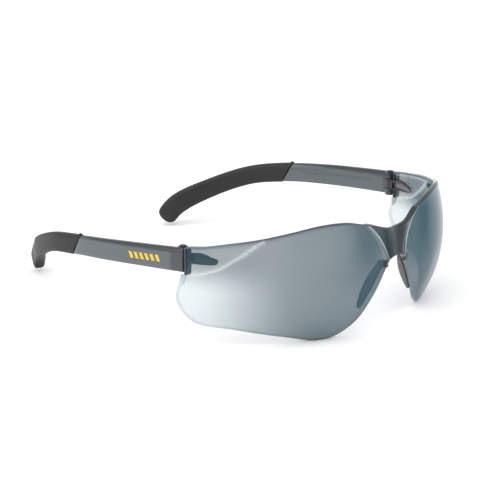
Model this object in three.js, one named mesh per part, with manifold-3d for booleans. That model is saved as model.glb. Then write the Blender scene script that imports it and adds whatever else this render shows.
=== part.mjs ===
// Wraparound safety glasses, in millimetres with +Z up. The lens faces -Y, the temples run
// back to +Y, and +X is the wearer's left. Every sided piece is made once for the left side
// and mirrored for the right. The origin is the middle of the footprint, on the table.

import * as THREE from 'three';
import { LoftGeometry } from 'three/addons/geometries/LoftGeometry.js';
import { mergeVertices } from 'three/addons/utils/BufferGeometryUtils.js';
import Module from 'manifold-3d';

const wasm = await Module();
wasm.setup();

// ---- Driving dimensions ----

const gap = 0.3; // clearance between neighbouring pieces
const beyond = 5; // how far a cutting shape runs past what it cuts

// Lens: guide points of its left half, from the middle of the bridge to the hinge. The
// first three rows are the bridge, and the third is the crease where the eye panel starts.
// Each column is a line across the lens: rim, belly (a pull point), and lower edge.
const lensGuide = [
  { rim: [0, -42.5, 41.0], belly: [0, -43.5, 35.0], edge: [0, -43.5, 29.0] },
  { rim: [6.5, -43.3, 42.0], belly: [5.0, -43.2, 36.0], edge: [2.5, -43.8, 29.0] },
  { rim: [16.5, -41.0, 45.0], belly: [6.5, -41.0, 38.5], edge: [5.0, -43.5, 28.0] },
  { rim: [25.5, -39.5, 47.7], belly: [22.0, -44.5, 29.5], edge: [12.0, -41.5, 15.5] },
  { rim: [36.5, -35.0, 48.2], belly: [35.0, -43.5, 23.0], edge: [19.8, -37.7, 5.0] },
  { rim: [46.5, -28.3, 46.4], belly: [45.5, -39.0, 19.5], edge: [30.5, -31.5, -0.5] },
  { rim: [55.0, -19.0, 43.7], belly: [52.5, -27.5, 18.0], edge: [46.0, -22.5, 2.8] },
  { rim: [62.0, -8.5, 41.5], belly: [59.5, -14.0, 20.5], edge: [60.0, -10.0, 6.6] },
  { rim: [65.8, -0.5, 39.8], belly: [64.0, -5.0, 24.5], edge: [68.0, 4.5, 9.0] },
  { rim: [67.0, 5.0, 39.0], belly: [66.5, 4.0, 29.0], edge: [69.4, 11.6, 17.0] },
  { rim: [67.5, 9.0, 38.5], belly: [67.5, 10.0, 32.8], edge: [67.5, 10.2, 26.6] },
];
const lensThickness = 2.2;
const levelling = 0.3; // how much of its tilt the thickness keeps, so that the rim stays level
const bridgeShare = 0.2; // part of the half lens that is bridge
const bridgeSteps = 5;
const eyeSteps = 32;
const lensRows = 13;

// Hinge: a vertical pin in line with the temple, with one fixed knuckle between two that move
const hinge = { x: 66.0, y: 10.4 };
const knuckleRadius = 2.1;
const boreRadius = 1.15;
const pinRadius = 0.85;
const pinBottom = 28.2;
const pinTop = 38.3;
const pinHead = { radius: 1.4, height: 0.4 };
const lowerKnuckle = { bottom: 28.4, top: 31.3 };
const middleKnuckle = { bottom: 31.6, top: 35.4 };
const upperKnuckle = { bottom: 35.7, top: 38.1 };
const neck = { inner: 1.8, outer: 1.4 }; // from the pin line to the two sides of the neck

// Hinge block: the post at the end of the lens, and the fin that backs it inside
const post = { inner: 64.6, outer: 68.3, front: 7.1, back: 8.0, bottom: 27.6, top: 38.2 };
const postCorner = 0.4;
const root = { inner: 63.0, outer: 65.4, inset: 0.1 }; // joins the fin to the post
const fin = { depth: 1.5, start: 0.7, steps: 10 };
const finTop = { pull: [0.5, 37.0], end: [-2.6, 35.8] }; // side view points, as Y and Z
const finFront = { pull: [-4.2, 35.0], end: [-4.6, 33.4] };
const finBottom = { pull: [-2.0, 33.0], end: [2.0, 32.2] };

// Temple: centre line points with the height and thickness of the section there
const templeGuide = [
  { at: [67.4, 7.9, 33.3], height: 9.8, thickness: 3.0 },
  { at: [68.2, 28.0, 31.5], height: 9.2, thickness: 3.0 },
  { at: [68.2, 47.0, 29.6], height: 8.7, thickness: 3.0 },
  { at: [66.3, 66.0, 27.3], height: 8.0, thickness: 3.2 },
  { at: [61.6, 83.5, 23.8], height: 7.5, thickness: 3.8 },
  { at: [53.5, 99.0, 17.0], height: 7.6, thickness: 4.4 },
  { at: [43.5, 110.2, 9.5], height: 8.4, thickness: 4.6 },
  { at: [39.9, 115.4, 2.2], height: 8.2, thickness: 4.4 },
];
const sectionCorners = 20;
const squareness = 0.5; // power that makes the round section nearly rectangular
const sleeveSwell = 0.4; // how much thicker the ear tip is than the arm where they meet
const junction = { y: 65.3, z: 27.6, slope: 0.54 }; // slanted joint between arm and ear tip
const tang = { height: 3.6, thickness: 1.2, end: 0.7 }; // the arm's tongue inside the ear tip
const endRounding = 0.05; // share of the temple's length that its end is rounded over
const endSize = 0.25; // how much of the section is left at the very end
const bladeEnd = 0.5; // shares of the temple's length where its lofts start and stop
const tongueStart = 0.36;
const sleeveStart = 0.34;

// Nose pads: ribs that run back from the edges of the nose opening
const pad = { start: 0.015, end: 0.155, width: 1.9, depth: 3.8, flare: 0.1, steps: 14 };
const padEndDepth = 0.6;
const peg = { at: [6.3, -41.2, 26.9], width: 1.2, height: 2.2, front: 2.2, back: 2.0 };

// ---- Materials ----

const smokeLens = { color: 0x7d8c94, roughness: 0.06, metalness: 0.0 };
const darkSmoke = { color: 0x2a2e33, roughness: 0.25, metalness: 0.0 };
const smokeArm = { color: 0x566065, roughness: 0.18, metalness: 0.0 };
const blackRubber = { color: 0x252523, roughness: 0.7, metalness: 0.0 };
const padSmoke = { color: 0x5f6265, roughness: 0.35, metalness: 0.0 };

// ---- Solids: closed geometry in and out of the boolean library ----

function toSolid(geometry) {
  const bare = new THREE.BufferGeometry();
  bare.setAttribute('position', geometry.attributes.position);
  bare.setIndex(geometry.index);
  const merged = mergeVertices(bare, 1e-4);
  const positions = merged.attributes.position.array;
  const triangles = withoutSlivers(merged.index.array);
  const solid = solidFrom(positions, triangles);
  if (solid.volume() > 0) return solid;
  return solidFrom(positions, turnedOver(triangles));
}

// Drops the triangles that have two corners on the same point
function withoutSlivers(triangles) {
  const kept = [];
  for (let i = 0; i < triangles.length; i += 3) {
    const [a, b, c] = triangles.slice(i, i + 3);
    if (a !== b && b !== c && c !== a) kept.push(a, b, c);
  }
  return kept;
}

function solidFrom(positions, triangles) {
  return new wasm.Manifold(new wasm.Mesh({
    numProp: 3,
    vertProperties: Float32Array.from(positions),
    triVerts: Uint32Array.from(triangles),
  }));
}

function turnedOver(triangles) {
  const turned = Uint32Array.from(triangles);
  for (let i = 0; i < turned.length; i += 3) {
    [turned[i], turned[i + 1]] = [turned[i + 1], turned[i]];
  }
  return turned;
}

function toGeometry(solid) {
  const mesh = solid.getMesh();
  const geometry = new THREE.BufferGeometry();
  geometry.setAttribute('position', new THREE.Float32BufferAttribute(mesh.vertProperties, 3));
  geometry.setIndex(Array.from(mesh.triVerts));
  return geometry;
}

function mirrored(geometry) {
  const other = geometry.clone();
  other.scale(-1, 1, 1);
  other.setIndex(Array.from(turnedOver(geometry.index.array)));
  return other;
}

function uprightCylinder(radius, bottom, top, x = hinge.x, y = hinge.y) {
  const geometry = new THREE.CylinderGeometry(radius, radius, top - bottom, 20);
  geometry.rotateX(Math.PI / 2);
  geometry.translate(x, y, (bottom + top) / 2);
  return toSolid(geometry);
}

function block(low, high) {
  const size = high.map((value, i) => value - low[i]);
  const geometry = new THREE.BoxGeometry(...size);
  geometry.translate(...low.map((value, i) => value + size[i] / 2));
  return toSolid(geometry);
}

// ---- Lens surface ----

// A guide line in two pieces, so that the crease between bridge and eye panel stays sharp
function guideLine(column) {
  const points = lensGuide.map((row) => new THREE.Vector3(...row[column]));
  const bridge = points.slice(0, 3);
  const otherSide = bridge.slice(1).reverse().map((p) => new THREE.Vector3(-p.x, p.y, p.z));
  return {
    bridge: new THREE.CatmullRomCurve3([...otherSide, ...bridge]),
    eye: new THREE.CatmullRomCurve3(points.slice(2)),
  };
}

const rimLine = guideLine('rim');
const bellyLine = guideLine('belly');
const edgeLine = guideLine('edge');

function onGuide(line, along) {
  if (along <= bridgeShare) return line.bridge.getPoint(0.5 + 0.5 * along / bridgeShare);
  return line.eye.getPoint((along - bridgeShare) / (1 - bridgeShare));
}

// A point of the outer face: along runs from -1 (right hinge) to 1, down from rim to edge
function outerPoint(along, down) {
  const rim = onGuide(rimLine, Math.abs(along));
  const belly = onGuide(bellyLine, Math.abs(along));
  const edge = onGuide(edgeLine, Math.abs(along));
  const curve = new THREE.QuadraticBezierCurve3(rim, belly, edge);
  const point = curve.getPoint(down);
  if (along < 0) point.x = -point.x;
  return point;
}

// The direction from the outer face towards the wearer
function inward(along, down) {
  const step = 0.01;
  const ahead = outerPoint(Math.min(along + step, 1), down);
  const behind = outerPoint(Math.max(along - step, -1), down);
  const below = outerPoint(along, Math.min(down + step, 1));
  const above = outerPoint(along, Math.max(down - step, 0));
  const direction = ahead.sub(behind).cross(below.sub(above)).normalize();
  direction.z *= levelling;
  return direction.normalize();
}

function lensPoint(along, down, depth) {
  return outerPoint(along, down).addScaledVector(inward(along, down), depth);
}

// The layer between two depths behind the outer face, over one stretch of the lens. Its two
// ends close on a line half way through the layer.
function lensLayer(stations, shallow, deep) {
  const section = (along, near, far) => {
    const outer = [];
    const inner = [];
    for (let row = 0; row <= lensRows; row += 1) {
      outer.push(lensPoint(along, row / lensRows, near));
      inner.unshift(lensPoint(along, row / lensRows, far));
    }
    return [...outer, ...inner];
  };
  const middle = (shallow + deep) / 2;
  const sections = stations.map((along) => section(along, shallow, deep));
  sections.unshift(section(stations[0], middle, middle));
  sections.push(section(stations.at(-1), middle, middle));
  return toSolid(new LoftGeometry(sections));
}

function halfStations() {
  const stations = [];
  for (let i = 1; i <= bridgeSteps; i += 1) stations.push(bridgeShare * i / bridgeSteps);
  for (let i = 1; i <= eyeSteps; i += 1) {
    stations.push(bridgeShare + (1 - bridgeShare) * i / eyeSteps);
  }
  return stations;
}

// ---- Lens ----

// The pad's peg through the lens, grown on all sides to cut its slot
function pegBlock(grow) {
  const [x, y, z] = peg.at;
  const halfWidth = peg.width / 2 + grow;
  const halfHeight = peg.height / 2 + grow;
  const reach = grow > 0 ? beyond : 0;
  return block(
    [x - halfWidth, y - peg.front - reach, z - halfHeight],
    [x + halfWidth, y + peg.back + reach, z + halfHeight],
  );
}

function lensShield() {
  const half = halfStations();
  const stations = [...half.map((along) => -along).reverse(), 0, ...half];
  let lens = lensLayer(stations, 0, lensThickness);
  const farAway = 200;
  lens = lens.subtract(block([-farAway, -farAway, -farAway], [farAway, farAway, 0]));
  const hingeEnd = block(
    [post.inner - beyond, post.front - gap, post.bottom - gap],
    [post.outer + beyond, post.back + 2 * beyond, post.top + beyond],
  );
  const otherEnd = toSolid(mirrored(toGeometry(hingeEnd)));
  const slot = pegBlock(gap);
  const otherSlot = toSolid(mirrored(toGeometry(slot)));
  lens = lens.subtract(hingeEnd).subtract(otherEnd).subtract(slot).subtract(otherSlot);
  return toGeometry(lens);
}

// ---- Hinge block and pin ----

// A side view outline in Y and Z, pushed out along X
function sideExtrusion(shape, fromX, toX) {
  const geometry = new THREE.ExtrudeGeometry(shape, {
    depth: toX - fromX,
    bevelEnabled: false,
    curveSegments: 8,
  });
  geometry.applyMatrix4(new THREE.Matrix4().makeBasis(
    new THREE.Vector3(0, 1, 0),
    new THREE.Vector3(0, 0, 1),
    new THREE.Vector3(1, 0, 0),
  ));
  geometry.translate(fromX, 0, 0);
  return toSolid(geometry);
}

function finOutline() {
  const { bottom, top } = middleKnuckle;
  const start = post.front + postCorner;
  const shape = new THREE.Shape();
  shape.moveTo(start, bottom);
  shape.lineTo(start, top);
  shape.quadraticCurveTo(...finTop.pull, ...finTop.end);
  shape.quadraticCurveTo(...finFront.pull, ...finFront.end);
  shape.quadraticCurveTo(...finBottom.pull, ...finBottom.end);
  shape.closePath();
  return shape;
}

function postOutline() {
  const { inner, outer, front, back } = post;
  const shape = new THREE.Shape();
  shape.moveTo(inner + postCorner, front);
  shape.lineTo(outer - postCorner, front);
  shape.quadraticCurveTo(outer, front, outer, front + postCorner);
  shape.lineTo(outer, back);
  shape.lineTo(inner, back);
  shape.lineTo(inner, front + postCorner);
  shape.quadraticCurveTo(inner, front, inner + postCorner, front);
  return shape;
}

function hingeBlock() {
  const stations = [];
  for (let i = 0; i <= fin.steps; i += 1) {
    stations.push(fin.start + (1 - fin.start) * i / fin.steps);
  }
  const backing = lensLayer(stations, lensThickness + gap, lensThickness + gap + fin.depth);
  const tongue = sideExtrusion(finOutline(), post.inner - 2 * beyond, post.outer).intersect(backing);
  const column = new THREE.ExtrudeGeometry(postOutline(), {
    depth: post.top - post.bottom,
    bevelEnabled: false,
    curveSegments: 4,
  });
  column.translate(0, 0, post.bottom);
  const { bottom, top } = middleKnuckle;
  const neckBlock = block(
    [hinge.x - neck.inner, post.back - gap, bottom],
    [hinge.x + neck.outer, hinge.y, top],
  );
  const rootBlock = block(
    [root.inner, post.front, bottom + root.inset],
    [root.outer, post.back - root.inset, top - root.inset],
  );
  const solid = toSolid(column)
    .add(uprightCylinder(knuckleRadius, bottom, top))
    .add(neckBlock)
    .add(rootBlock)
    .add(tongue)
    .subtract(uprightCylinder(boreRadius, bottom - beyond, top + beyond));
  return toGeometry(solid);
}

function hingePin() {
  const shaft = uprightCylinder(pinRadius, pinBottom, pinTop);
  const head = uprightCylinder(pinHead.radius, pinTop, pinTop + pinHead.height);
  return toGeometry(shaft.add(head));
}

// ---- Temple ----

const templePath = new THREE.CatmullRomCurve3(
  templeGuide.map((row) => new THREE.Vector3(...row.at)),
);
const templeSize = new THREE.SplineCurve(
  templeGuide.map((row) => new THREE.Vector2(row.height, row.thickness)),
);

// A rounded, nearly rectangular ring around the temple's centre line
function templeSection(share, height, thickness) {
  const centre = templePath.getPoint(share);
  const forward = templePath.getTangent(share);
  const up = new THREE.Vector3(0, 0, 1).addScaledVector(forward, -forward.z).normalize();
  const outward = new THREE.Vector3().crossVectors(forward, up);
  const ring = [];
  for (let i = 0; i < sectionCorners; i += 1) {
    const angle = -(i + 0.5) / sectionCorners * 2 * Math.PI;
    const across = Math.cos(angle);
    const upright = Math.sin(angle);
    ring.push(centre.clone()
      .addScaledVector(outward, Math.sign(across) * Math.abs(across) ** squareness * thickness / 2)
      .addScaledVector(up, Math.sign(upright) * Math.abs(upright) ** squareness * height / 2));
  }
  return ring;
}

function templeLoft(from, to, steps, sizeAt) {
  const sections = [];
  for (let i = 0; i <= steps; i += 1) {
    const share = from + (to - from) * i / steps;
    const { height, thickness } = sizeAt(share);
    sections.push(templeSection(share, height, thickness));
  }
  return toSolid(new LoftGeometry(sections, { capStart: true, capEnd: true }));
}

function armSize(share) {
  const size = templeSize.getPoint(share);
  return { height: size.x, thickness: size.y };
}

function sleeveSize(share) {
  const { height, thickness } = armSize(share);
  const left = Math.min((1 - share) / endRounding, 1);
  const rounding = Math.max(Math.sqrt(1 - (1 - left) ** 2), endSize);
  return {
    height: (height + sleeveSwell) * rounding,
    thickness: (thickness + sleeveSwell) * rounding,
  };
}

function tangSize(grow) {
  return () => ({ height: tang.height + 2 * grow, thickness: tang.thickness + 2 * grow });
}

// Everything on the ear's side of the slanted joint
function behindJunction(shift) {
  const size = 90;
  const geometry = new THREE.BoxGeometry(size, size, size);
  geometry.translate(0, size / 2 + shift, 0);
  geometry.rotateX(Math.atan(junction.slope));
  geometry.translate(hinge.x - size / 4, junction.y, junction.z);
  return toSolid(geometry);
}

function templeArm() {
  const blade = templeLoft(0, bladeEnd, 18, armSize).subtract(behindJunction(0));
  const tongue = templeLoft(tongueStart, tang.end, 14, tangSize(0));
  const { bottom, top } = middleKnuckle;
  const clearance = knuckleRadius + gap;
  const notch = uprightCylinder(clearance, bottom - gap, top + gap).add(block(
    [hinge.x - clearance - beyond, post.back - beyond, bottom - gap],
    [hinge.x + neck.outer + gap, hinge.y, top + gap],
  ));
  const beforeStop = block(
    [post.inner - beyond, post.front - beyond, pinBottom - beyond],
    [post.outer + beyond, post.back + gap, pinTop + beyond],
  );
  const solid = blade
    .add(tongue)
    .add(uprightCylinder(knuckleRadius, lowerKnuckle.bottom, lowerKnuckle.top))
    .add(uprightCylinder(knuckleRadius, upperKnuckle.bottom, upperKnuckle.top))
    .subtract(notch)
    .subtract(beforeStop)
    .subtract(uprightCylinder(boreRadius, pinBottom - beyond, pinTop + beyond));
  return toGeometry(solid);
}

function templeTip() {
  const sleeve = templeLoft(sleeveStart, 1, 40, sleeveSize).intersect(behindJunction(gap));
  const pocket = templeLoft(sleeveStart, tang.end + 0.01, 14, tangSize(gap));
  return toGeometry(sleeve.subtract(pocket));
}

// ---- Nose pads ----

// Each pad is a rib behind the lens that follows the edge of the nose opening
function nosePad() {
  const sections = [];
  for (let i = 0; i <= pad.steps; i += 1) {
    const share = i / pad.steps;
    const along = bridgeShare + pad.start + (pad.end - pad.start) * share;
    const swell = Math.sin(Math.PI * (0.1 + 0.86 * share)) ** 0.8;
    const depth = padEndDepth + (pad.depth - padEndDepth) * swell;
    const edgePoint = lensPoint(along, 1, lensThickness + gap);
    const upPoint = lensPoint(along, 0.8, lensThickness + gap);
    const across = upPoint.sub(edgePoint).normalize().multiplyScalar(pad.width);
    const back = new THREE.Vector3(pad.flare, 1, 0).normalize().multiplyScalar(depth);
    const corner = (a, b) => edgePoint.clone().addScaledVector(across, a).addScaledVector(back, b);
    sections.push([
      corner(0, 0), corner(0, 0.6), corner(0.15, 0.88), corner(0.5, 1),
      corner(0.85, 0.88), corner(1, 0.6), corner(1, 0),
    ]);
  }
  const rib = toSolid(new LoftGeometry(sections, { capStart: true, capEnd: true }));
  return toGeometry(rib.add(pegBlock(0)));
}

// ---- Assembly ----

const glasses = new THREE.Group();

function addPiece(name, geometry, look) {
  const mesh = new THREE.Mesh(geometry, new THREE.MeshStandardMaterial(look));
  mesh.name = name;
  glasses.add(mesh);
}

function addPair(name, geometry, look) {
  addPiece(`${name}_left`, geometry, look);
  addPiece(`${name}_right`, mirrored(geometry), look);
}

addPiece('lens_shield', lensShield(), smokeLens);
addPair('hinge_block', hingeBlock(), darkSmoke);
addPair('hinge_pin', hingePin(), darkSmoke);
addPair('temple_arm', templeArm(), smokeArm);
addPair('temple_tip', templeTip(), blackRubber);
addPair('nose_pad', nosePad(), padSmoke);

const box = new THREE.Box3().setFromObject(glasses);
glasses.position.y = -(box.min.y + box.max.y) / 2;

export default glasses;
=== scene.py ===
# Wraparound safety glasses with a smoke lens, folding temples and rubber ear tips.
# Lengths are millimetres in the maker's frame: X to the wearer's left, the lens faces -Y,
# the table is z = 0. toFrame() turns them into metres in the row frame.
import math
import bmesh
import bpy
import numpy as np
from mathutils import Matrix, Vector


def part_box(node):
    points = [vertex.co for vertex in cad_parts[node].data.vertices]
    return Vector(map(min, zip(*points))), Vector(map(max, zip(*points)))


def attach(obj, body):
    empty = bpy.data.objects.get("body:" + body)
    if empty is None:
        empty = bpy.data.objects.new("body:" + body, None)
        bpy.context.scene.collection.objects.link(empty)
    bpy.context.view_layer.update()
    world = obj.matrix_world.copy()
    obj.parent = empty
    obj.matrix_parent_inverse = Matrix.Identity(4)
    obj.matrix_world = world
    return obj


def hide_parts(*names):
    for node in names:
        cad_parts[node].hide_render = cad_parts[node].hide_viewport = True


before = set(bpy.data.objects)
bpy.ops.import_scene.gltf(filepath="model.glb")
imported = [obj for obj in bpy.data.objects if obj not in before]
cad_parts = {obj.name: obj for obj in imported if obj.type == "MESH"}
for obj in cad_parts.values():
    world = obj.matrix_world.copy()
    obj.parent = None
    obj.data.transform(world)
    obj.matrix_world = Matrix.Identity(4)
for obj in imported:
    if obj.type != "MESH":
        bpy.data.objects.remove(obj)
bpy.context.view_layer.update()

hinge = {"x": 66.0, "y": 10.4}
pinLow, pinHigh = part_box("hinge_pin_left")
shiftY = (pinLow.y + pinHigh.y) / 2 * 1000 - hinge["y"]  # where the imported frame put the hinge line


def toFrame(points):
    moved = np.array(points, float)
    moved[..., 1] += shiftY
    return moved / 1000


# camera

camera = {"azimuth": -49.988, "elevation": 18.121, "distance": 1114.33, "lens": 195.84, "sensor": 36,
          "target": (-1.951, 30.422, 16.263)}


def addCamera():
    turn, rise = math.radians(camera["azimuth"]), math.radians(camera["elevation"])
    back = Vector((math.sin(turn) * math.cos(rise), -math.cos(turn) * math.cos(rise), math.sin(rise)))
    data = bpy.data.cameras.new("camera")
    data.lens, data.sensor_width = camera["lens"], camera["sensor"]
    data.clip_start, data.clip_end = 0.05, 60
    made = bpy.data.objects.new("camera", data)
    bpy.context.scene.collection.objects.link(made)
    made.location = Vector(toFrame(camera["target"])) + back * camera["distance"] / 1000
    made.rotation_mode = "QUATERNION"
    made.rotation_quaternion = (-back).to_track_quat("-Z", "Y")
    bpy.context.scene.camera = made


addCamera()
print("camera set")


# shader maths

class Tap:
    # one node output, so that shader maths reads as maths
    def __init__(self, finish, socket):
        self.finish, self.socket = finish, socket

    def sum(self, operation, first, second=None):
        values = {0: first} if second is None else {0: first, 1: second}
        return self.finish.node("Math", {"operation": operation}, values)

    def __add__(self, other):
        return self.sum("ADD", self, other)

    __radd__ = __add__

    def __sub__(self, other):
        return self.sum("SUBTRACT", self, other)

    def __rsub__(self, other):
        return self.sum("SUBTRACT", other, self)

    def __mul__(self, other):
        return self.sum("MULTIPLY", self, other)

    __rmul__ = __mul__

    def __truediv__(self, other):
        return self.sum("DIVIDE", self, other)

    def __pow__(self, other):
        return self.sum("POWER", self, other)


class Finish:
    # one material, built node by node
    def __init__(self, name):
        self.material = bpy.data.materials.new(name)
        self.material.use_nodes = True
        self.tree = self.material.node_tree
        self.tree.nodes.clear()

    def node(self, kind, settings=None, sockets=None, output=0):
        made = self.tree.nodes.new("ShaderNode" + kind)
        for key, value in (settings or {}).items():
            if key == "stops":
                self.setStops(made.color_ramp, value)
            else:
                setattr(made, key, value)
        for key, value in (sockets or {}).items():
            if isinstance(value, Tap):
                self.tree.links.new(value.socket, made.inputs[key])
            else:
                made.inputs[key].default_value = value
        return Tap(self, made.outputs[output]) if made.outputs else None

    def setStops(self, ramp, stops):
        while len(ramp.elements) < len(stops):
            ramp.elements.new(0.5)
        for element, (place, colour) in zip(ramp.elements, stops):
            element.position, element.color = place, colour

    def place(self):
        return self.node("TexCoord", output="Object")

    def axes(self):
        # object position in millimetres, as three values
        spot = self.node("SeparateXYZ", sockets={0: self.place()})
        parts = [Tap(self, spot.socket.node.outputs[i]) for i in range(3)]
        return [part * 1000 for part in parts]

    def ease(self, value, low, high, start=0.0, end=1.0):
        # start below low, end above high, smooth between them
        return self.node("MapRange", {"interpolation_type": "SMOOTHSTEP"},
                         {"Value": value, "From Min": low, "From Max": high, "To Min": start, "To Max": end})

    def noise(self, scale, detail=3.0, stretch=(1, 1, 1)):
        spread = self.node("Mapping", sockets={"Vector": self.place(), "Scale": stretch})
        return self.node("TexNoise", {"noise_dimensions": "3D"},
                         {"Vector": spread, "Scale": scale, "Detail": detail})

    def mix(self, share, first, second):
        return self.node("Mix", {"data_type": "RGBA"}, {0: share, 6: first, 7: second}, 2)

    def bump(self, height, strength, distance):
        return self.node("Bump", sockets={"Height": height, "Strength": strength, "Distance": distance})

    def surface(self, **sockets):
        named = {key.replace("_", " "): value for key, value in sockets.items()}
        shader = self.node("BsdfPrincipled", sockets=named)
        self.node("OutputMaterial", sockets={"Surface": shader})
        return self.material


def tone(red, green, blue):
    # a screen colour, 0 to 255, as a linear one
    linear = [c / 255 / 12.92 if c <= 10 else ((c / 255 + 0.055) / 1.055) ** 2.4 for c in (red, green, blue)]
    return (*linear, 1.0)


# mesh tools

def solid(name, points, faces, sharpAngle=40, marks=None):
    # marks are named numbers, one for each point, which a finish can read
    mesh = bpy.data.meshes.new(name)
    mesh.from_pydata(np.asarray(points).tolist(), [], faces)
    for key, values in (marks or {}).items():
        layer = mesh.attributes.new(key, "FLOAT", "POINT")
        layer.data.foreach_set("value", np.asarray(values, np.float32).ravel())
    work = bmesh.new()
    work.from_mesh(mesh)
    bmesh.ops.remove_doubles(work, verts=work.verts, dist=2e-7)
    bmesh.ops.dissolve_degenerate(work, edges=work.edges, dist=1e-8)
    bmesh.ops.recalc_face_normals(work, faces=work.faces)
    work.to_mesh(mesh)
    work.free()
    made = bpy.data.objects.new(name, mesh)
    bpy.context.scene.collection.objects.link(made)
    soften(made, sharpAngle)
    return made


def soften(piece, sharpAngle=40):
    piece.data.shade_smooth()
    piece.data.set_sharp_from_angle(angle=math.radians(sharpAngle))


def ringFaces(count, around, capped=True):
    # quads between closed rings, with a flat cap at each end where they stay open
    faces = []
    for i in range(count - 1):
        for j in range(around):
            k = (j + 1) % around
            faces.append((i * around + j, i * around + k, (i + 1) * around + k, (i + 1) * around + j))
    if capped:
        faces.append(tuple(range(around)))
        faces.append(tuple((count - 1) * around + j for j in reversed(range(around))))
    return faces


def ringSolid(name, rings, sharpAngle=40, capped=True, marks=None):
    count, around = rings.shape[:2]
    return solid(name, toFrame(rings.reshape(-1, 3)), ringFaces(count, around, capped), sharpAngle, marks)


def lathe(name, profile, x, y, segments=48):
    # profile is (radius, z) from bottom to top
    turns = np.linspace(0, 2 * math.pi, segments, endpoint=False)
    rings = [[(x + r * math.cos(a), y + r * math.sin(a), z) for a in turns] for r, z in profile]
    return ringSolid(name, np.array(rings), 35)


def box(name, low, high):
    corners = [[(x, y, z) for x, y in ((low[0], low[1]), (high[0], low[1]), (high[0], high[1]),
                                        (low[0], high[1]))] for z in (low[2], high[2])]
    return ringSolid(name, np.array(corners, float))


def carve(piece, tool, operation="DIFFERENCE"):
    # a boolean made at once, after which the tool is gone
    step = piece.modifiers.new("carve", "BOOLEAN")
    step.operation, step.solver, step.object = operation, "MANIFOLD", tool
    settle(piece)
    bpy.data.objects.remove(tool)
    return piece


def settle(piece):
    # the mesh as its modifiers leave it
    graph = bpy.context.evaluated_depsgraph_get()
    mesh = bpy.data.meshes.new_from_object(piece.evaluated_get(graph))
    piece.modifiers.clear()
    piece.data = mesh


def otherSide(piece, name):
    mesh = piece.data.copy()
    for vertex in mesh.vertices:
        vertex.co.x = -vertex.co.x
    mesh.flip_normals()
    made = bpy.data.objects.new(name, mesh)
    bpy.context.scene.collection.objects.link(made)
    return made


def place(piece, body, slot, material, *nodes):
    piece.data.materials.clear()
    piece.data.materials.append(material)
    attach(piece, body)
    if nodes:
        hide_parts(*nodes)


def smoothPath(points, shares, power=0.25):
    # a Catmull-Rom line through the points, read at shares of its length in points;
    # power 0.25 is the centripetal one
    points = np.array(points, float)
    padded = np.vstack([2 * points[0] - points[1], points, 2 * points[-1] - points[-2]])
    spot = np.clip(np.asarray(shares, float), 0, 1) * (len(points) - 1)
    index = np.minimum(spot.astype(int), len(points) - 2)
    part = (spot - index)[..., None]
    p0, p1, p2, p3 = (padded[index + i] for i in range(4))
    d0, d1, d2 = (((b - a) ** 2).sum(-1, keepdims=True) ** power for a, b in ((p0, p1), (p1, p2), (p2, p3)))
    leave = ((p1 - p0) / d0 - (p2 - p0) / (d0 + d1) + (p2 - p1) / d1) * d1
    arrive = ((p2 - p1) / d1 - (p3 - p1) / (d1 + d2) + (p3 - p2) / d2) * d1
    square = 3 * (p2 - p1) - 2 * leave - arrive
    cube = 2 * (p1 - p2) + leave + arrive
    return p1 + part * (leave + part * (square + part * cube))


# lens surface

# Guide points of the left half, from the middle of the bridge to the hinge. The third row
# is the crease where the eye panel starts. Columns are rim, belly (a pull point) and edge.
lens = {
    "rim": [(0, -42.5, 41), (6.5, -43.3, 42), (16.5, -41, 45), (25.5, -39.5, 47.7), (36.5, -35, 48.2),
            (46.5, -28.3, 46.4), (55, -19, 43.7), (62, -8.5, 41.5), (65.8, -0.5, 39.8), (67, 5, 39),
            (67.5, 9, 38.5)],
    "belly": [(0, -43.5, 35), (5, -43.2, 36), (6.5, -41, 38.5), (22, -44.5, 29.5), (35, -43.5, 23),
              (45.5, -39, 19.5), (52.5, -27.5, 18), (59.5, -14, 20.5), (64, -5, 24.5), (66.5, 4, 29),
              (67.5, 10, 32.8)],
    "edge": [(0, -43.5, 29), (2.5, -43.8, 29), (5, -43.5, 28), (12, -41.5, 15.5), (19.8, -37.7, 5),
             (30.5, -31.5, -0.5), (46, -22.5, 2.8), (60, -10, 6.6), (68, 4.5, 9), (69.4, 11.6, 17),
             (67.5, 10.2, 26.6)],
    "thickness": 2.2,
    "levelling": 0.3,     # how much of its tilt the thickness keeps, so that the rim stays level
    "bridgeShare": 0.2,   # part of the half lens that is bridge
    "edgeRound": 0.9,     # how far in from an edge its rounding runs
    "edgeGlow": 0.45,     # how far in from an edge the painted glow of carried light reaches
    "ridge": 0.35,        # height of the raised line where the eye panel starts
    "endRaise": 0.7,      # how far the end piece stands out from the eye panel
    "endLine": [(67.4, 8.4, 27.4), (66, 3, 28), (65, -2.5, 29.9), (63.5, -5, 31), (62, -10, 34.1),
                (60, -15.8, 38.3), (57.5, -20, 42.5), (54.2, -20.8, 43.8)],  # where the end piece starts
}
post = {"inner": 64.6, "outer": 68.3, "front": 7.1, "back": 8.0, "bottom": 27.6, "top": 38.2, "corner": 0.3}
gap = 0.3


def guide(column, along):
    points = [np.array(p, float) for p in lens[column]]
    flip = np.array((-1, 1, 1))
    bridge = [points[2] * flip, points[1] * flip, points[0], points[1], points[2]]
    share = lens["bridgeShare"]
    onBridge = smoothPath(bridge, 0.5 + 0.5 * np.minimum(along, share) / share)
    onEye = smoothPath(points[2:], (np.maximum(along, share) - share) / (1 - share))
    return np.where((along <= share)[..., None], onBridge, onEye)


def outerFace(along, down):
    # along runs from -1 (right hinge) to 1, down from the rim to the lower edge
    along, down = np.broadcast_arrays(np.asarray(along, float), np.asarray(down, float))
    rim, belly, edge = (guide(column, np.abs(along)) for column in ("rim", "belly", "edge"))
    part = down[..., None]
    found = (1 - part) ** 2 * rim + 2 * part * (1 - part) * belly + part ** 2 * edge
    found[..., 0] *= np.where(along < 0, -1, 1)
    return found


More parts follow.
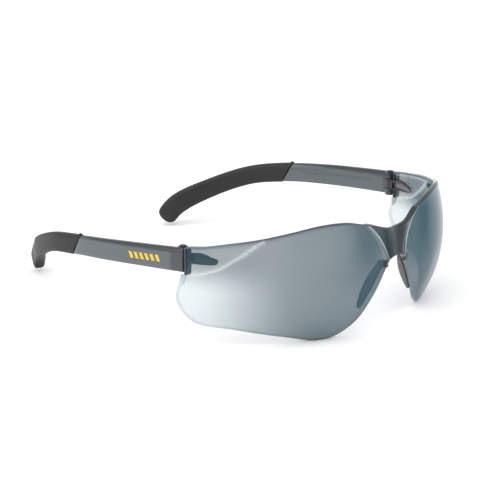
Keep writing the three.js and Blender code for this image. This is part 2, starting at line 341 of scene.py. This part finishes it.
def inward(along, down, step=0.01):
    ahead = outerFace(np.minimum(along + step, 1), down) - outerFace(np.maximum(along - step, -1), down)
    below = outerFace(along, np.minimum(down + step, 1)) - outerFace(along, np.maximum(down - step, 0))
    across = np.cross(ahead, below)
    across /= np.linalg.norm(across, axis=-1, keepdims=True)
    across[..., 2] *= lens["levelling"]
    return across / np.linalg.norm(across, axis=-1, keepdims=True)


def onLens(along, down, depth):
    return outerFace(along, down) + inward(along, down) * np.asarray(depth)[..., None]


def nearestShares(points):
    # the (along, down) of the lens point closest to each point
    alongs, downs = np.linspace(0.2, 1, 161), np.linspace(0, 1, 101)
    field = outerFace(alongs[:, None], downs[None, :])
    found = []
    for point in points:
        i, j = np.unravel_index(((field - point) ** 2).sum(-1).argmin(), field.shape[:2])
        found.append((alongs[i], downs[j]))
    return np.array(sorted(found))


def edgeSteps(reach, count):
    # distances in from an edge that follow its rounding
    return reach * (1 - np.cos(np.linspace(0, math.pi / 2, count + 1)))[:-1]


def rounding(distance, reach):
    # share of the full thickness at a distance in from an edge
    left = np.clip(1 - distance / reach, 0, 1)
    return (1 - left ** 3) ** (1 / 3)


def endPieceShares():
    found = nearestShares([np.array(p, float) for p in lens["endLine"]])
    along, keep = np.unique(found[:, 0], return_index=True)
    return along, found[keep, 1]


def addLens():
    reach, half = lens["edgeRound"], lens["thickness"] / 2
    endSteps = edgeSteps(reach, 5) / 60   # about 60 mm of surface for each unit of along there
    eye = np.linspace(lens["bridgeShare"], 1 - reach / 60, 130)
    besideRidge = np.array((-0.012, -0.008, -0.005, -0.0025, 0.0025, 0.005, 0.008, 0.012))
    ridgeSteps = lens["bridgeShare"] + besideRidge
    bridge = np.linspace(0, lens["bridgeShare"], 16)[1:]
    right = np.unique(np.concatenate([bridge, ridgeSteps, eye, 1 - endSteps]))
    stations = np.concatenate([-right[::-1], [0], right])[:, None]
    probe = outerFace(stations, np.linspace(0, 1, 41)[None, :])
    length = np.linalg.norm(np.diff(probe, axis=1), axis=-1).sum(1)[:, None]
    near = edgeSteps(reach, 6)[None, :] / length
    inside = reach / length + (1 - 2 * reach / length) * np.linspace(0, 1, 44)[None, :]
    down = np.concatenate([near, inside, 1 - near[:, ::-1]], axis=1)
    fromEdge = np.minimum(down, 1 - down) * length
    fromEnd = (1 - np.abs(stations)) * 60
    thick = half * np.minimum(rounding(fromEdge, reach), rounding(fromEnd, reach))
    # raised work on the outer face: the end piece, a ridge at the eye panel and a rim bead
    along = np.abs(stations)
    lineAlong, lineDown = endPieceShares()
    border = np.interp(along, lineAlong, lineDown, left=-0.2)
    above = np.clip((border - down) * length / 1.4 + 0.5, 0, 1)
    raised = lens["endRaise"] * above ** 2 * (3 - 2 * above) * np.clip((along - lineAlong[0]) / 0.05, 0, 1)
    ridgeAt = (along - lens["bridgeShare"]) * 105
    raised = raised + lens["ridge"] * np.exp(-(ridgeAt / 0.55) ** 2)
    bead = np.clip(1 - down * length / 1.6, 0, 1)
    raised = raised + 0.25 * bead ** 2 * (3 - 2 * bead)
    raised = raised * rounding(fromEdge, reach) * rounding(fromEnd, reach)
    outer = onLens(stations, down, half - thick - raised)
    inner = onLens(stations, down, half + thick)
    rings = np.concatenate([outer, inner[:, ::-1]], axis=1)
    rings[..., 2] = np.maximum(rings[..., 2], 0)   # the small flats that the lens rests on
    marks = {
        # nearEdge: strongest at an edge, where the lens is more opaque and a painted pale glow stands in for
        # light carried in the edge
        "nearEdge": np.exp(-(np.minimum(fromEdge, fromEnd) / lens["edgeGlow"]) ** 2),
        "endPiece": above * np.clip((along - lineAlong[0]) / 0.03, 0, 1),
        # crease: a painted highlight line on the eye panel's ridge and along the end piece's border
        "crease": np.maximum(np.exp(-(ridgeAt / 0.5) ** 2),
                             np.exp(-((border - down) * length / 0.45) ** 2) * (along > lineAlong[0])),
        # bridge: the part of the lens that gets the painted shade of the recessed saddle
        "bridge": np.clip((lens["bridgeShare"] - along) / 0.012, 0, 1) + 0 * down,
        "rim": np.exp(-(down * length / 0.7) ** 2),
    }
    marks = {key: np.concatenate([values, values[:, ::-1]], axis=1) for key, values in marks.items()}
    # rimLine: a painted highlight line on the inner face, about 1.1 mm below the rim
    glow = np.exp(-((down * length - 1.1) / 0.35) ** 2)
    marks["rimLine"] = np.concatenate([0 * glow, glow[:, ::-1]], axis=1)
    made = ringSolid("lens", rings, 30, False, marks)
    for side in (-1, 1):
        low = (post["inner"] - 5, post["front"] - gap, post["bottom"] - gap)
        high = (post["outer"] + 5, post["back"] + 10, post["top"] + 5)
        xs = sorted((side * low[0], side * high[0]))
        carve(made, box("notch", (xs[0], low[1], low[2]), (xs[1], high[1], high[2])))
        x, y, z = peg["at"]
        wide, tall = peg["width"] / 2 + gap, peg["height"] / 2 + gap
        carve(made, box("slot", (side * x - wide, y - 5, z - tall), (side * x + wide, y + 5, z + tall)))
    soften(made, 30)
    place(made, "front", "smoke_lens", smokeLens(), "lens_shield")
    return made


def smokeLens():
    finish = Finish("smokeLens")
    x, y, z = finish.axes()
    y = y - shiftY
    side = finish.node("Math", {"operation": "ABSOLUTE"}, {0: x})
    edge, endPiece, crease, bridge, rim, rimLine = (
        finish.node("Attribute", {"attribute_name": name}, output=2)
        for name in ("nearEdge", "endPiece", "crease", "bridge", "rim", "rimLine"))
    facing = finish.node("LayerWeight", sockets={"Blend": 0.5}, output=1)
    longWay = facing * facing   # the light's longer way through tinted glass that is seen at a slant
    pale = finish.ease(y, -30, 8) * finish.ease(z, 20, 35, 1, 0)
    front = finish.ease(y, -18, -36)
    middle = finish.ease(side, 1, 11, 1, 0)
    cloud = finish.noise(18, 2)
    smear = finish.noise(60, 4, (1, 1, 3))
    alpha = 0.5 - 0.27 * pale + 0.04 * front - 0.04 * endPiece + (cloud - 0.5) * 0.02
    alpha = alpha + longWay * (0.3 + 1.2 * finish.ease(z, 14, 38)) * (1 - pale) * (1 - endPiece * 0.4)
    # the bridge term is painted shade, deepest at the middle
    alpha = alpha + bridge * (0.12 + 0.3 * middle) + edge * 0.14 + rim * 0.25 - crease * 0.1
    body = finish.mix(pale, tone(26, 78, 94), tone(150, 178, 184))
    body = finish.mix(endPiece * 0.85, body, tone(42, 80, 88))
    # painted shade: the bridge turns near black, deepest at its middle
    body = finish.mix(bridge * (0.55 + 0.4 * middle), body, tone(16, 28, 34))
    # painted highlight: a pale line along the crease, also a little clearer in alpha
    body = finish.mix(crease * 0.8, body, tone(214, 224, 228))
    # painted glow: the eye panel's edges turn pale, for light carried in the lens edge
    body = finish.mix(edge * (1 - bridge * 0.8) * 0.5, body, tone(120, 140, 144))
    body = finish.mix(rim * finish.ease(y, -4, -26, 0.25, 0.85), body, tone(30, 36, 40))
    # painted highlight: a pale line along the inner face below the rim
    body = finish.mix(rimLine * 0.7, body, tone(214, 224, 228))
    return finish.surface(Base_Color=body, Alpha=alpha, Roughness=0.045 + 0.03 * smear, IOR=1.52,
                          Coat_Weight=0.15, Coat_Roughness=0.03, Specular_IOR_Level=0.3)


# hinge blocks and pins

pin = {"radius": 0.85, "bottom": 28.2, "top": 38.3, "headRadius": 1.4, "headHeight": 0.4}
knuckle = {"radius": 2.1, "bore": 1.15, "lower": (28.4, 31.3), "middle": (31.6, 35.4), "upper": (35.7, 38.1),
           "neckInner": 1.8, "neckOuter": 1.4}
lug = {"length": 11.4, "thick": 1.6, "web": 0.55, "upperRib": 1.5, "lowerRib": 1.0,
       "top": 35.5, "crown": 0.7, "topDrop": 1.1, "bottom": 31.4, "bottomRise": 0.9,
       "tipFrom": 0.88,   # where along it the rounded tip starts
       "thinning": 0.5, "ribThinning": 0.45, "tipHeight": 0.62}


def upright(name, radius, low, high, edge=0.12, x=None, y=None):
    x, y = hinge["x"] if x is None else x, hinge["y"] if y is None else y
    profile = [(radius - edge, low), (radius - edge * 0.3, low + edge * 0.3), (radius, low + edge),
               (radius, high - edge), (radius - edge * 0.3, high - edge * 0.3), (radius - edge, high)]
    return lathe(name, profile, x, y)


def lugRings():
    # the tongue on the wall behind the lens end: two ribs with a thin web between them,
    # as (y, z, thickness, web) from its lower edge to its top
    rings = []
    tipPart = 1 - lug["tipFrom"]
    alongTip = 1 - tipPart * np.cos(np.linspace(0.3, 1.45, 7))
    for share in np.concatenate([np.linspace(0, lug["tipFrom"], 24), alongTip]):
        y = post["front"] + 0.6 - share * lug["length"]
        top = lug["top"] + lug["crown"] * math.sin(math.pi * min(share * 1.3, 1))
        top -= lug["topDrop"] * share ** 3
        bottom = lug["bottom"] + lug["bottomRise"] * share ** 2
        close = math.sqrt(max(1 - max(share - lug["tipFrom"], 0) ** 2 / tipPart ** 2, 0.02))
        centre = bottom + (top - bottom) * lug["tipHeight"]
        top, bottom = centre + (top - centre) * close, centre + (bottom - centre) * close
        thick = lug["thick"] * (1 - lug["thinning"] * share) * (0.4 + 0.6 * close)
        web = min(lug["web"], thick * 0.7)
        ribs = (1 - lug["ribThinning"] * share) * close
        upper, lower = lug["upperRib"] * ribs, lug["lowerRib"] * ribs
        span = top - bottom
        upper, lower = min(upper, span * 0.45), min(lower, span * 0.3)
        rings.append([(y, bottom, 0, 0), (y, bottom + lower * 0.12, thick * 0.75, 0),
                      (y, bottom + lower * 0.35, thick, 0), (y, bottom + lower * 0.8, thick, 0),
                      (y, bottom + lower, web, 0.4), (y, bottom + lower * 1.2, web, 1),
                      (y, top - upper * 1.15, web, 1), (y, top - upper, web, 0.4),
                      (y, top - upper * 0.8, thick, 0), (y, top - upper * 0.35, thick, 0),
                      (y, top - upper * 0.12, thick * 0.75, 0), (y, top, 0, 0)])
    return rings


def wallX(spots):
    # X of the lens's inner wall, with the gap before it, at side view points
    alongs, downs = np.linspace(0.6, 1, 161), np.linspace(0, 1, 81)
    field = onLens(alongs[:, None], downs[None, :], np.array(lens["thickness"] + gap)).reshape(-1, 3)
    near = [((field[:, 1:] - spot) ** 2).sum(1) for spot in spots]
    found = []
    for distance in near:
        close = np.argpartition(distance, 6)[:6]
        weight = 1 / (distance[close] + 1e-4)
        found.append((field[close, 0] * weight).sum() / weight.sum())
    return np.array(found)


def addHingeBlocks():
    p, corner = post, post["corner"]
    outline = [(p["inner"] + corner, p["front"]), (p["outer"] - corner, p["front"]),
               (p["outer"] - 0.15, p["front"] + 0.15), (p["outer"], p["front"] + corner),
               (p["outer"], p["back"] - 0.15), (p["outer"] - 0.15, p["back"]), (p["inner"] + 0.15, p["back"]),
               (p["inner"], p["back"] - 0.15), (p["inner"], p["front"] + corner),
               (p["inner"] + 0.15, p["front"] + 0.15)]
    centre = np.mean(outline, axis=0)
    rings = []
    for z, pull in ((p["bottom"], 0.9), (p["bottom"] + 0.12, 0.97), (p["bottom"] + 0.35, 1),
                    (p["top"] - 0.35, 1), (p["top"] - 0.12, 0.97), (p["top"], 0.9)):
        rings.append([(*(centre + (np.array(spot) - centre) * pull), z) for spot in outline])
    block = ringSolid("hinge_block_left_looks", np.array(rings), 40)
    bottom, top = knuckle["middle"]
    carve(block, upright("knuckle", knuckle["radius"], bottom, top), "UNION")
    carve(block, box("neck", (hinge["x"] - knuckle["neckInner"], p["back"] - gap, bottom),
                     (hinge["x"] + knuckle["neckOuter"], hinge["y"], top)), "UNION")
    carve(block, box("root", (p["inner"] - 1.6, p["front"] + 0.05, bottom + 0.1),
                     (p["inner"] + 0.8, p["back"] - 0.1, top - 0.1)), "UNION")
    rings = lugRings()
    walls = wallX([(y, z) for ring in rings for y, z, _, _ in ring]).reshape(len(rings), -1)
    tongue, web = [], []
    for ring, wall in zip(rings, walls):
        outerSide = [(x, y, z) for x, (y, z, _, _) in zip(wall, ring)]
        innerSide = [(x - part - 0.02, y, z) for x, (y, z, part, _) in zip(wall, ring)]
        tongue.append(outerSide + innerSide[::-1])
        web.append([row[3] for row in ring] + [row[3] for row in ring[::-1]])
    carve(block, ringSolid("tongue", np.array(tongue), marks={"web": web}), "UNION")
    carve(block, upright("bore", knuckle["bore"], bottom - 1, top + 1, 0.01))
    soften(block, 35)
    other = otherSide(block, "hinge_block_right_looks")
    material = darkSmoke()
    place(block, "front", "dark_smoke", material, "hinge_block_left")
    place(other, "front", "dark_smoke", material, "hinge_block_right")


def darkSmoke():
    finish = Finish("darkSmoke")
    flow = finish.noise(90, 3, (1, 1, 0.4))
    x, y, _ = finish.axes()
    side = finish.node("Math", {"operation": "ABSOLUTE"}, {0: x})
    web = finish.node("Attribute", {"attribute_name": "web"}, output=2)
    stop = finish.ease(side, 64.2, 64.7) * finish.ease(y - shiftY, 8.3, 8.0)
    body = finish.mix(flow, tone(32, 34, 38), tone(48, 47, 52))
    body = finish.mix(web * 0.8, body, tone(108, 106, 114))
    body = finish.mix(stop * 0.7, body, tone(46, 52, 56))
    return finish.surface(Base_Color=body, Roughness=0.22 + 0.12 * flow, Coat_Weight=0.3, Coat_Roughness=0.12,
                          Normal=finish.bump(finish.noise(700, 2), 0.15, 0.0001))


def addPins():
    r, low, high = pin["radius"], pin["bottom"], pin["top"]
    head, tall = pin["headRadius"], pin["headHeight"]
    profile = [(r - 0.25, low), (r - 0.08, low + 0.08), (r, low + 0.25), (r, high), (head - 0.1, high),
               (head, high + 0.08), (head, high + tall * 0.45), (head * 0.85, high + tall * 0.8),
               (head * 0.5, high + tall * 0.97), (head * 0.1, high + tall)]
    made = lathe("hinge_pin_left_looks", profile, hinge["x"], hinge["y"])
    other = otherSide(made, "hinge_pin_right_looks")
    material = pinSteel()
    place(made, "front", "dark_smoke", material, "hinge_pin_left")
    place(other, "front", "dark_smoke", material, "hinge_pin_right")


def pinSteel():
    finish = Finish("pinSteel")
    turned = finish.noise(400, 2, (1, 1, 6))
    return finish.surface(Base_Color=finish.mix(turned, tone(52, 54, 58), tone(84, 86, 90)), Metallic=0.6,
                          Roughness=0.25 + 0.15 * turned)


# temples

temple = {
    "at": [(67.4, 7.9, 33.3), (68.2, 28, 31.5), (68.2, 47, 29.6), (66.3, 66, 27.3), (61.6, 83.5, 23.8),
           (53.5, 99, 17), (43.5, 110.2, 9.5), (39.9, 115.4, 2.2)],
    "size": [(9.8, 3.0), (9.2, 3.0), (8.7, 3.0), (8.0, 3.2), (7.5, 3.8), (7.6, 4.4), (8.4, 4.6), (8.2, 4.4)],
    "squareness": 0.5,
    "corners": 56,
    "swell": 0.4,          # how much thicker the ear tip is than the arm
    "junction": (65.3, 27.6, 0.54),   # y and z of the slanted joint, and its slope
    "tangHeight": 3.6, "tangThickness": 1.2, "tangEnd": 0.7,
    "endRound": 0.05,
}


def templeRing(share, angle, grow=0.0, height=None, thickness=None):
    share, angle = np.broadcast_arrays(np.asarray(share, float), np.asarray(angle, float))
    centre = smoothPath(temple["at"], share)
    forward = smoothPath(temple["at"], share + 1e-4) - smoothPath(temple["at"], share - 1e-4)
    forward /= np.linalg.norm(forward, axis=-1, keepdims=True)
    up = np.array((0, 0, 1.0)) - forward * forward[..., 2:]
    up /= np.linalg.norm(up, axis=-1, keepdims=True)
    outward = np.cross(forward, up)
    size = smoothPath([(h, t, 0) for h, t in temple["size"]], share, 0)
    high = (size[..., 0] if height is None else height) + grow
    wide = (size[..., 1] if thickness is None else thickness) + grow
    across, rise = np.cos(angle), np.sin(angle)
    power = temple["squareness"]
    sideways = np.sign(across) * np.abs(across) ** power * wide / 2
    upward = np.sign(rise) * np.abs(rise) ** power * high / 2
    return centre + outward * sideways[..., None] + up * upward[..., None]


def shareWhere(side, angles, low, high, grow):
    # the share at which each line along the temple crosses a plane, by halving
    low, high = np.full(len(angles), low), np.full(len(angles), high)
    for _ in range(30):
        middle = (low + high) / 2
        behind = side(templeRing(middle, angles, grow)) > 0
        low, high = np.where(behind, low, middle), np.where(behind, middle, high)
    return (low + high) / 2


def pastJunction(shift):
    y, z, slope = temple["junction"]
    cosine, sine = math.cos(math.atan(slope)), math.sin(math.atan(slope))
    return lambda p: (p[..., 1] - y) * cosine + (p[..., 2] - z) * sine - shift


def ringAngles():
    # closer together at the corners, where the section turns
    even = (np.arange(temple["corners"]) + 0.5) / temple["corners"] * 2 * math.pi
    return -(even - 0.12 * np.sin(4 * even))


def lipSteps(radius):
    # (distance from the cut end, how much the section has drawn in)
    turns = np.linspace(0, math.pi / 2, 5)
    return [(radius * (1 - math.cos(a)), radius * (1 - math.sin(a))) for a in turns]


def armRings():
    angles = ringAngles()
    start = shareWhere(lambda p: p[..., 1] - (post["back"] + gap), angles, 0.0, 0.1, 0)
    end = shareWhere(pastJunction(0), angles, 0.3, 0.6, 0)
    lip = lipSteps(0.35)
    lengthLeft = 140
    rings = [templeRing(start + d / lengthLeft, angles, -2 * pull) for d, pull in lip]
    for part in np.linspace(0, 1, 60)[1:-1]:
        rings.append(templeRing(start + (end - start) * part, angles))
    rings += [templeRing(end - d / lengthLeft, angles, -2 * pull) for d, pull in lip[::-1]]
    return np.array(rings)


def addArms():
    arm = ringSolid("temple_arm_left_looks", armRings(), 40)
    shares = np.linspace(0.4, temple["tangEnd"], 30)
    tongue = np.array([templeRing(s, ringAngles(), 0, temple["tangHeight"], temple["tangThickness"])
                       for s in shares])
    carve(arm, ringSolid("tongue", tongue), "UNION")
    for end in ("lower", "upper"):
        carve(arm, upright("knuckle", knuckle["radius"], *knuckle[end]), "UNION")
    low, high = knuckle["middle"]
    clear = knuckle["radius"] + gap
    carve(arm, upright("notch", clear, low - gap, high + gap, 0.02))
    carve(arm, box("mouth", (hinge["x"] - clear - 1, post["back"] - 1, low - gap),
                   (hinge["x"] + knuckle["neckOuter"] + gap, hinge["y"], high + gap)))
    carve(arm, upright("bore", knuckle["bore"], pin["bottom"] - 5, pin["top"] + 5, 0.01))
    soften(arm, 35)
    other = otherSide(arm, "temple_arm_right_looks")
    material = smokeArm()
    place(arm, "temple_left", "smoke_arm", material, "temple_arm_left")
    place(other, "temple_right", "smoke_arm", material, "temple_arm_right")


def smokeArm():
    # smoke plastic: grey on its broad faces, with painted shade along its edges where the light runs along it
    finish = Finish("smokeArm")
    _, y, z = finish.axes()
    y = y - shiftY
    middle = 33.9 - 0.088 * y
    height = (z - middle) / 4.6
    # painted shade: a dark band along the top edge, half as strong along the bottom
    edge = finish.ease(height, 0.5, 0.8)
    edge = edge + finish.ease(height, -0.8, -1.0) * 0.5
    # painted shade: darker over the last few millimetres before the hinge, for the shade in the hinge pocket
    hingePocketShade = finish.ease(y, 15.5, 13.0)
    flow = finish.noise(45, 3, (1, 0.3, 1))
    body = finish.mix(flow, tone(72, 83, 87), tone(90, 100, 104))
    body = finish.mix(edge * 0.9, body, tone(30, 36, 40))
    body = finish.mix(hingePocketShade * 0.75, body, tone(40, 44, 50))
    return finish.surface(Base_Color=body, Roughness=0.16 + 0.1 * flow, Coat_Weight=0.35, Coat_Roughness=0.08,
                          Normal=finish.bump(finish.noise(500, 2), 0.06, 0.0001))


def tipRings():
    angles = ringAngles()
    swell = temple["swell"]
    start = shareWhere(pastJunction(gap), angles, 0.3, 0.6, swell)
    rings = [templeRing(start + d / 140, angles, swell - 2 * pull) for d, pull in lipSteps(0.45)]
    fullEnd = 1 - temple["endRound"]
    for part in np.linspace(0, 1, 72)[1:]:
        rings.append(templeRing(start + (fullEnd - start) * part, angles, swell))
    size = smoothPath([(h, t, 0) for h, t in temple["size"]], [1.0], 0)[0]
    for turn in np.linspace(0, math.pi / 2, 14)[1:]:
        share = fullEnd + temple["endRound"] * math.sin(turn)
        scale = max(math.cos(turn), 0.06)
        rings.append(templeRing(share, angles, 0, (size[0] + swell) * scale, (size[1] + swell) * scale))
    return np.array(rings)


def addTips():
    tip = ringSolid("temple_tip_left_looks", tipRings(), 50)
    shares = np.linspace(0.34, temple["tangEnd"] + 0.01, 30)
    pocket = np.array([templeRing(s, ringAngles(), 0, temple["tangHeight"] + 2 * gap,
                                  temple["tangThickness"] + 2 * gap) for s in shares])
    carve(tip, ringSolid("pocket", pocket))
    carve(tip, nubOnTip(), "UNION")
    soften(tip, 50)
    other = otherSide(tip, "temple_tip_right_looks")
    material = blackRubber()
    place(tip, "temple_left", "black_rubber", material, "temple_tip_left")
    place(other, "temple_right", "black_rubber", material, "temple_tip_right")


def nubOnTip():
    # the small raised lip on top of the rubber, right at the joint
    top = np.array([-1.5 * math.pi])
    crest = templeRing(shareWhere(pastJunction(gap), top, 0.3, 0.6, temple["swell"]), top, temple["swell"])[0]
    profile = [(0.05, -0.5), (0.6, -0.5), (0.6, 0.15), (0.48, 0.36), (0.25, 0.46), (0.05, 0.48)]
    return lathe("nub", [(r, crest[2] + z) for r, z in profile], crest[0], crest[1] + 0.85, 24)


def blackRubber():
    finish = Finish("blackRubber")
    grain = finish.noise(900, 3)
    cloth = finish.noise(40, 3)
    rubbed = finish.ease(cloth, 0.4, 0.75)
    body = finish.mix(rubbed, tone(13, 13, 12), tone(22, 22, 20))
    return finish.surface(Base_Color=body, Roughness=0.42 + 0.12 * grain + 0.06 * rubbed,
                          Specular_IOR_Level=0.5, Normal=finish.bump(grain, 0.25, 0.00012))


# nose pads

pad = {"start": 0.015, "end": 0.155, "width": 1.9, "depth": 3.8, "flare": 0.1}
peg = {"at": (6.3, -41.2, 26.9), "width": 1.2, "height": 2.2, "front": 2.2, "back": 2.0}


def padRings():
    rings = []
    turn = np.linspace(0, math.pi, 17)
    for share in np.linspace(0, 1, 48):
        along = lens["bridgeShare"] + pad["start"] + (pad["end"] - pad["start"]) * share
        swell = math.sin(math.pi * (0.1 + 0.86 * share)) ** 0.8
        depth = 0.6 + (pad["depth"] - 0.6) * swell
        behind = lens["thickness"] + gap
        edge = onLens(np.array(along), np.array(1.0), behind)
        upper = onLens(np.array(along), np.array(0.8), behind)
        across = (upper - edge) / np.linalg.norm(upper - edge) * pad["width"]
        back = np.array((pad["flare"], 1, 0)) / math.hypot(pad["flare"], 1) * depth
        shrink = math.sqrt(max(1 - max(abs(2 * share - 1) - 0.94, 0) ** 2 / 0.06 ** 2, 0.09))
        ring = []
        for a in turn:
            side = 0.5 - 0.5 * math.copysign(abs(math.cos(a)) ** 0.6, math.cos(a))
            out = math.sin(a) ** 0.6
            ring.append(edge + across * (0.5 + (side - 0.5) * shrink) + back * out * shrink)
        rings.append(ring)
    return np.array(rings)


def addPads():
    made = ringSolid("nose_pad_left_looks", padRings(), 50)
    x, y, z = peg["at"]
    wide, tall = peg["width"] / 2, peg["height"] / 2
    carve(made, box("peg", (x - wide, y - peg["front"], z - tall), (x + wide, y + peg["back"], z + tall)),
          "UNION")
    soften(made, 40)
    other = otherSide(made, "nose_pad_right_looks")
    material = padSmoke()
    place(made, "front", "pad_smoke", material, "nose_pad_left")
    place(other, "front", "pad_smoke", material, "nose_pad_right")


def padSmoke():
    finish = Finish("padSmoke")
    flow = finish.noise(120, 3)
    body = finish.mix(flow, tone(62, 54, 58), tone(82, 76, 80))
    return finish.surface(Base_Color=body, Roughness=0.3 + 0.15 * flow, Coat_Weight=0.2, Coat_Roughness=0.2,
                          Normal=finish.bump(finish.noise(800, 2), 0.12, 0.0001))


# marks: a slanted hazard band outside the right temple, plain bars inside the left

band = {"from": 19.5, "stripe": 1.5, "pitch": 2.7, "count": 6, "height": 2.6, "slant": 0.9, "proud": 0.06,
        "rise": -0.2}
bars = {"from": 20, "pitch": 2.1, "count": 18, "width": 1.2, "height": 1.1, "proud": 0.05, "rise": 0.4}


def patch(yFrom, yTo, low, high, lean, outside, proud):
    # a thin plate on the temple's broad face; lean moves its top along the temple
    ups = np.linspace(low, high, 5)
    ys = np.linspace(0, 1, 5)
    corners = []
    for layer in (-0.08, proud):
        for up in ups:
            part = (up - low) / (high - low)
            for y in ys:
                corners.append(faceSpot(yFrom + (yTo - yFrom) * y + lean * part, up, outside, layer))
    faces = []
    for layer in (0, 25):
        for i in range(4):
            for j in range(4):
                a = layer + i * 5 + j
                faces.append((a, a + 1, a + 6, a + 5))
    border = [i for i in range(5)] + [5 * i + 4 for i in range(1, 5)] + [20 + i for i in (3, 2, 1, 0)] \
        + [15, 10, 5]
    for a, b in zip(border, border[1:] + border[:1]):
        faces.append((a, b, b + 25, a + 25))
    return corners, faces


def faceSpot(y, up, outside, layer):
    shares = np.linspace(0, 0.5, 401)
    centres = smoothPath(temple["at"], shares)
    share = float(np.interp(y, centres[:, 1], shares))
    size = smoothPath([(h, t, 0) for h, t in temple["size"]], [share], 0)[0]
    rise = max(min(up / (size[0] / 2), 1), -1)
    sine = math.copysign(abs(rise) ** (1 / temple["squareness"]), rise)
    angle = math.asin(sine)
    if not outside:
        angle = math.pi - angle
    onFace = templeRing([share], [angle])[0]
    outward = templeRing([share], [0.0])[0] - templeRing([share], [math.pi])[0]
    outward /= np.linalg.norm(outward)
    return onFace + outward * (layer if outside else -layer)


def patches(name, rows, side):
    points, faces = [], []
    for corners, quads in rows:
        faces += [tuple(len(points) + i for i in quad) for quad in quads]
        points += [np.array(c) for c in corners]
    points = np.array(points)
    points[:, 0] *= side
    return solid(name, toFrame(points), faces, 50)


def markRow(mark, width, lean, outside):
    # the same patch again and again along the temple
    low, high = mark["rise"] - mark["height"] / 2, mark["rise"] + mark["height"] / 2
    starts = [mark["from"] + mark["pitch"] * i for i in range(mark["count"])]
    return [patch(start, start + width, low, high, lean, outside, mark["proud"]) for start in starts]


def addMarks():
    stripes = patches("hazard_band", markRow(band, band["stripe"], band["slant"], True), -1)
    place(stripes, "temple_right", "smoke_arm", markYellow())
    inner = patches("inner_bars", markRow(bars, bars["width"], 0, False), 1)
    place(inner, "temple_left", "smoke_arm", markDark())


def markYellow():
    finish = Finish("markYellow")
    worn = finish.noise(350, 3)
    return finish.surface(Base_Color=finish.mix(worn, tone(250, 205, 40), tone(226, 176, 30)),
                          Roughness=0.4 + 0.15 * worn)


def markDark():
    finish = Finish("markDark")
    worn = finish.noise(350, 3)
    return finish.surface(Base_Color=finish.mix(worn, tone(72, 82, 87), tone(82, 92, 97)),
                          Roughness=0.45 + 0.1 * worn)


# stage and light

studio = {
    "floorSize": 12,
    "world": 0.88,
    "lamps": [   # place and aim in metres round the object, size, power
        {"at": (-0.5, -0.2, 1.5), "size": (1.6, 1.2), "power": 8.5},
        {"at": (-1.5, 0.6, 0.7), "size": (1.0, 1.2), "power": 6},
        {"at": (1.4, -0.9, 0.9), "size": (0.9, 0.9), "power": 3},
    ],
}


def addStage():
    half = studio["floorSize"] / 2
    mesh = bpy.data.meshes.new("floor")
    drop = -0.0002
    mesh.from_pydata([(-half, -half, drop), (half, -half, drop), (half, half, drop), (-half, half, drop)], [],
                     [(0, 1, 2, 3)])
    floor = bpy.data.objects.new("floor", mesh)
    bpy.context.scene.collection.objects.link(floor)
    finish = Finish("floorPaper")
    tooth = finish.noise(30, 3)
    floor.data.materials.append(finish.surface(
        Base_Color=finish.mix(tooth, tone(248, 248, 248), tone(252, 252, 252)), Roughness=0.9,
        Specular_IOR_Level=0.1, Emission_Color=tone(255, 255, 255), Emission_Strength=0.1))


def addLight():
    world = bpy.data.worlds.new("studio")
    bpy.context.scene.world = world
    world.use_nodes = True
    world.node_tree.nodes["Background"].inputs["Color"].default_value = (1, 1, 1, 1)
    world.node_tree.nodes["Background"].inputs["Strength"].default_value = studio["world"]
    for i, lamp in enumerate(studio["lamps"]):
        data = bpy.data.lights.new(f"lamp{i}", "AREA")
        data.shape = "RECTANGLE"
        data.size, data.size_y = lamp["size"]
        data.energy = lamp["power"]
        made = bpy.data.objects.new(f"lamp{i}", data)
        bpy.context.scene.collection.objects.link(made)
        made.location = lamp["at"]
        made.rotation_mode = "QUATERNION"
        made.rotation_quaternion = (-Vector(lamp["at"])).to_track_quat("-Z", "Y")
    bpy.context.scene.view_settings.view_transform = "Standard"


addLens()
print("lens made")
addHingeBlocks()
addPins()
print("hinges made")
addArms()
addTips()
print("temples made")
addPads()
addMarks()
print("pads and marks made")
addStage()
addLight()
